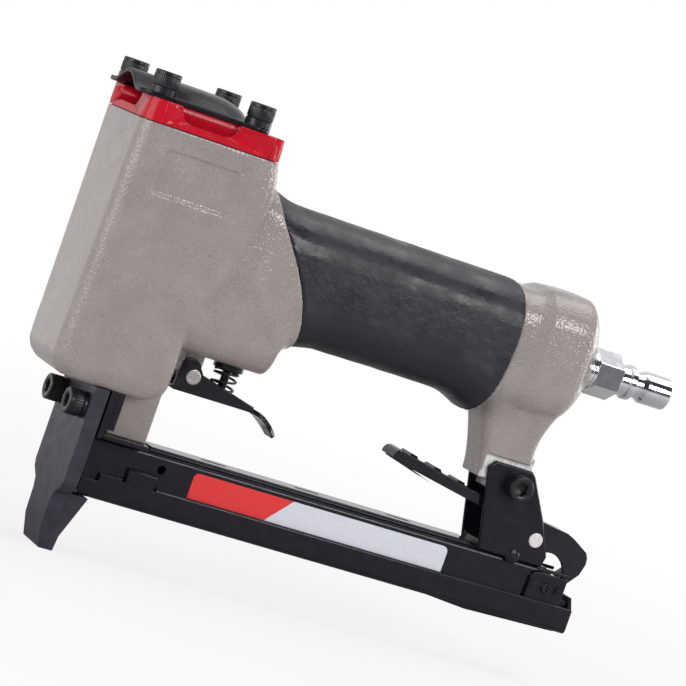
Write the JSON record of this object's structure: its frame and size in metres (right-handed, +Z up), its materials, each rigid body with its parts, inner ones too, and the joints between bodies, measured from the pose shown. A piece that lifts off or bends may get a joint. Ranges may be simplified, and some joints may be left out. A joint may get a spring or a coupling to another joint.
{
  "type": "pneumatic upholstery stapler",
  "caption": "Handheld pneumatic upholstery stapler with grey cast body, red cap, black rubber grip, trigger valve and slide-out staple magazine",
  "frame": {"origin": "middle of the nose tip's foot, where staples leave", "axes": "+X along the handle towards the air plug, +Y across the tool to its right side, +Z up from the nose to the cap"},
  "size_m": [0.2166, 0.043, 0.1541],
  "materials": {
    "body_paint": "warm grey hammer-finish enamel on die-cast alloy, gloss",
    "red_paint": "gloss red enamel",
    "black_steel": "blackened steel, satin",
    "grip_rubber": "smooth moulded rubber, satin",
    "black_rubber": "dark sealing rubber",
    "bare_steel": "ground bare steel",
    "chrome_plate": "bright chrome plating"
  },
  "bodies": {
    "root": {"gun_body": "body_paint", "cap_gasket": "black_rubber", "cylinder_cap": "red_paint", "exhaust_deflector": "black_steel", "cap_screws": "black_steel", "cap_lock_washers": "black_steel", "cylinder_sleeve": "bare_steel", "cylinder_seal": "black_rubber", "piston_bumper": "black_rubber", "grip_sleeve": "grip_rubber", "valve_bush": "black_steel", "trigger_pin": "bare_steel", "nose_plate": "black_steel", "nose_back_sheet": "black_steel", "nose_block": "black_steel", "nose_screws": "black_steel", "nose_lock_washers": "black_steel", "magazine_foot": "black_steel", "fixed_rail": "black_steel", "magazine_bracket": "black_steel", "bracket_screw": "black_steel", "bracket_nut": "black_steel", "rail_studs": "black_steel", "latch_pin": "bare_steel", "latch_spring": "bare_steel", "air_plug": "chrome_plate", "plug_washer": "chrome_plate"},
    "trigger": {"trigger": "black_steel"},
    "valve": {"valve_stem": "bare_steel", "valve_seal": "black_rubber", "trigger_spring": "bare_steel"},
    "driver": {"piston": "bare_steel", "piston_ring": "black_rubber", "driver_blade": "bare_steel", "driver_pin": "bare_steel"},
    "head_valve": {"head_valve": "bare_steel", "head_valve_seal": "black_rubber", "head_valve_spring": "bare_steel"},
    "latch": {"latch_lever": "black_steel"},
    "magazine": {"magazine_channel": "black_steel", "staple_core": "bare_steel", "end_block": "black_steel", "end_screws": "black_steel", "end_rivets": "black_steel", "pusher_rod": "bare_steel"},
    "pusher": {"pusher": "bare_steel", "pusher_spring": "bare_steel"}
  },
  "joints": [
    {"name": "trigger_pull", "type": "hinge", "parent": "root", "child": "trigger", "pos_m": [0.0283, 0, 0.0654], "axis": [0, -1, 0], "range_deg": [0, 8]},
    {"name": "valve_slide", "type": "slide", "parent": "root", "child": "valve", "axis": [0, 0, 1], "range_m": [0, 0.00179], "stiffness_N_per_m": 12, "springref_m": -0.002, "deforming": ["trigger_spring"]},
    {"name": "drive_stroke", "type": "slide", "parent": "root", "child": "driver", "axis": [0, 0, -1], "range_m": [0, 0.036]},
    {"name": "head_valve_lift", "type": "slide", "parent": "root", "child": "head_valve", "axis": [0, 0, 1], "range_m": [0, 0.0025], "stiffness_N_per_m": 400, "deforming": ["head_valve_spring"]},
    {"name": "latch_press", "type": "hinge", "parent": "root", "child": "latch", "pos_m": [0.1618, 0, 0.0471], "axis": [0, -1, 0], "range_deg": [0, 12], "stiffness_Nm_per_rad": 0.3},
    {"name": "magazine_slide", "type": "slide", "parent": "root", "child": "magazine", "axis": [1, 0, 0], "range_m": [0, 0.1]},
    {"name": "pusher_slide", "type": "slide", "parent": "magazine", "child": "pusher", "axis": [1, 0, 0], "range_m": [0, 0.095], "stiffness_N_per_m": 15, "deforming": ["pusher_spring"]}
  ],
  "couplings": [
    {"joint": "trigger_pull", "follows": "valve_slide", "rad_per_m": 78.125}
  ]
}
